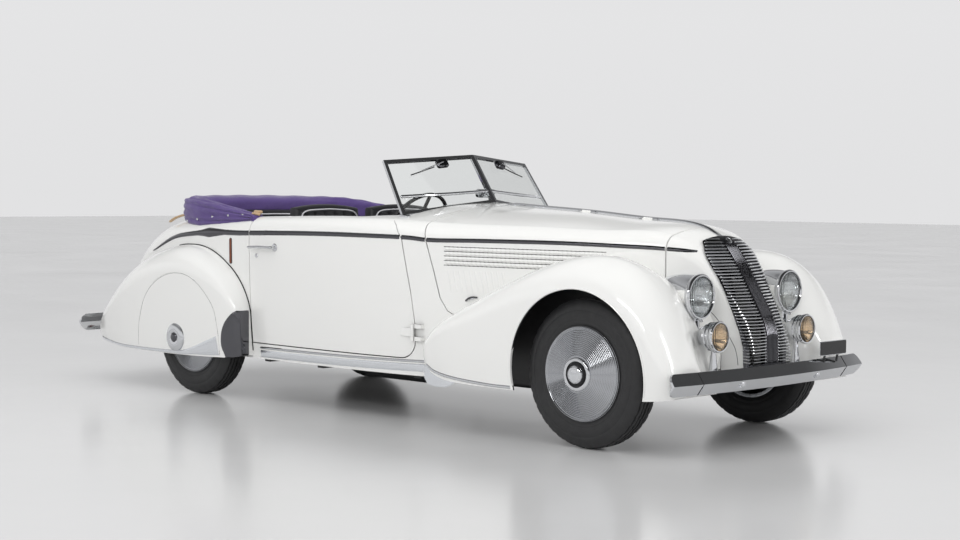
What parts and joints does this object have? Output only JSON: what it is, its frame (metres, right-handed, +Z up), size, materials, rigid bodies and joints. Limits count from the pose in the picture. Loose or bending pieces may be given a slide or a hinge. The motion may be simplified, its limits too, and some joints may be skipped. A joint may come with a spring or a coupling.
{
  "type": "vintage open tourer",
  "caption": "Vintage open four-seat car with long bonnet, swept separate wings, spats over the rear wheels, folded hood and opening doors, bonnet and boot.",
  "frame": {"origin": "on the ground under the middle of the car's length", "axes": "+X forwards, +Y to the car's left, +Z up"},
  "size_m": [5, 1.7244, 1.457],
  "materials": {
    "white_paint": "gloss",
    "bright_plate": "polished",
    "black_frame": "satin",
    "tyre_rubber": "matte",
    "wheel_plate": "polished",
    "black_leather": "satin",
    "purple_cloth": "woven",
    "clear_glass": "polished",
    "amber_glass": "polished",
    "dark_iron": "matte",
    "floor_trim": "woven",
    "dash_wood": "satin",
    "black_rim": "gloss"
  },
  "bodies": {
    "body": {"chassis_frame": "black_frame", "floor_pan": "floor_trim", "engine_block": "dark_iron", "radiator": "black_frame", "rear_body": "white_paint", "scuttle": "white_paint", "nose": "white_paint", "bonnet_strip": "bright_plate", "front_wing_left": "white_paint", "front_wing_right": "white_paint", "rear_wings": "white_paint", "rear_spats": "white_paint", "grille": "bright_plate", "lamps": "bright_plate", "headlamp_lenses": "clear_glass", "foglamp_lenses": "amber_glass", "front_bumper": "bright_plate", "rear_bumper": "bright_plate", "windscreen_frame": "bright_plate", "windscreen_glass": "clear_glass", "dashboard": "dash_wood", "steering_column": "black_frame", "seat_frames": "black_frame", "front_seats": "black_leather", "rear_seat": "black_leather", "folded_hood": "purple_cloth", "front_axle": "dark_iron", "rear_axle": "dark_iron", "exhaust": "dark_iron"},
    "knuckle_left": {"knuckle_left": "dark_iron"},
    "knuckle_right": {"knuckle_right": "dark_iron"},
    "door_left": {"door_left": "white_paint"},
    "door_right": {"door_right": "white_paint"},
    "bonnet_left": {"bonnet_left": "white_paint"},
    "bonnet_right": {"bonnet_right": "white_paint"},
    "boot_lid": {"boot_lid": "white_paint"},
    "steering_wheel": {"steering_wheel": "black_rim"},
    "wheel_body_front_left": {"wheel_front_left": "wheel_plate", "tyre_front_left": "tyre_rubber"},
    "wheel_body_front_right": {"wheel_front_right": "wheel_plate", "tyre_front_right": "tyre_rubber"},
    "wheel_body_rear_left": {"wheel_rear_left": "wheel_plate", "tyre_rear_left": "tyre_rubber"},
    "wheel_body_rear_right": {"wheel_rear_right": "wheel_plate", "tyre_rear_right": "tyre_rubber"}
  },
  "joints": [
    {"name": "steer_right", "type": "hinge", "parent": "body", "child": "knuckle_right", "pos_m": [1.85, -0.625, 0.3675], "axis": [0, 0, 1], "range_deg": [-28, 28]},
    {"name": "steer_left", "type": "hinge", "parent": "body", "child": "knuckle_left", "pos_m": [1.85, 0.625, 0.3675], "axis": [0, 0, 1], "range_deg": [-28, 28]},
    {"name": "roll_front_left", "type": "hinge", "parent": "knuckle_left", "child": "wheel_body_front_left", "pos_m": [1.85, 0.7, 0.3675], "axis": [0, 1, 0], "continuous": true},
    {"name": "roll_front_right", "type": "hinge", "parent": "knuckle_right", "child": "wheel_body_front_right", "pos_m": [1.85, -0.7, 0.3675], "axis": [0, 1, 0], "continuous": true},
    {"name": "roll_rear_left", "type": "hinge", "parent": "body", "child": "wheel_body_rear_left", "pos_m": [-1.25, 0.7, 0.3675], "axis": [0, 1, 0], "continuous": true},
    {"name": "roll_rear_right", "type": "hinge", "parent": "body", "child": "wheel_body_rear_right", "pos_m": [-1.25, -0.7, 0.3675], "axis": [0, 1, 0], "continuous": true},
    {"name": "steering_wheel_turn", "type": "hinge", "parent": "body", "child": "steering_wheel", "pos_m": [0.27, -0.36, 1.052], "axis": [-0.848, 0, 0.5299], "range_deg": [-392, 392]},
    {"name": "door_left_swing", "type": "hinge", "parent": "body", "child": "door_left", "pos_m": [0.596, 0.7063, 0.486], "axis": [0, 0, -1], "range_deg": [0, 65]},
    {"name": "door_right_swing", "type": "hinge", "parent": "body", "child": "door_right", "pos_m": [0.596, -0.7063, 0.486], "axis": [0, 0, 1], "range_deg": [0, 65]},
    {"name": "bonnet_left_lift", "type": "hinge", "parent": "body", "child": "bonnet_left", "pos_m": [1.5, 0.0265, 1.1235], "axis": [0.9971, 0, -0.0762], "range_deg": [0, 60]},
    {"name": "bonnet_right_lift", "type": "hinge", "parent": "body", "child": "bonnet_right", "pos_m": [1.5, -0.0265, 1.1235], "axis": [-0.9971, 0, 0.0762], "range_deg": [0, 60]},
    {"name": "boot_lid_lift", "type": "hinge", "parent": "body", "child": "boot_lid", "pos_m": [-1.923, 0, 1.003], "axis": [0, 1, 0], "range_deg": [0, 70]}
  ],
  "couplings": [
    {"joint": "steer_left", "follows": "steer_right", "ratio": 1},
    {"joint": "steering_wheel_turn", "follows": "steer_right", "ratio": 14}
  ]
}
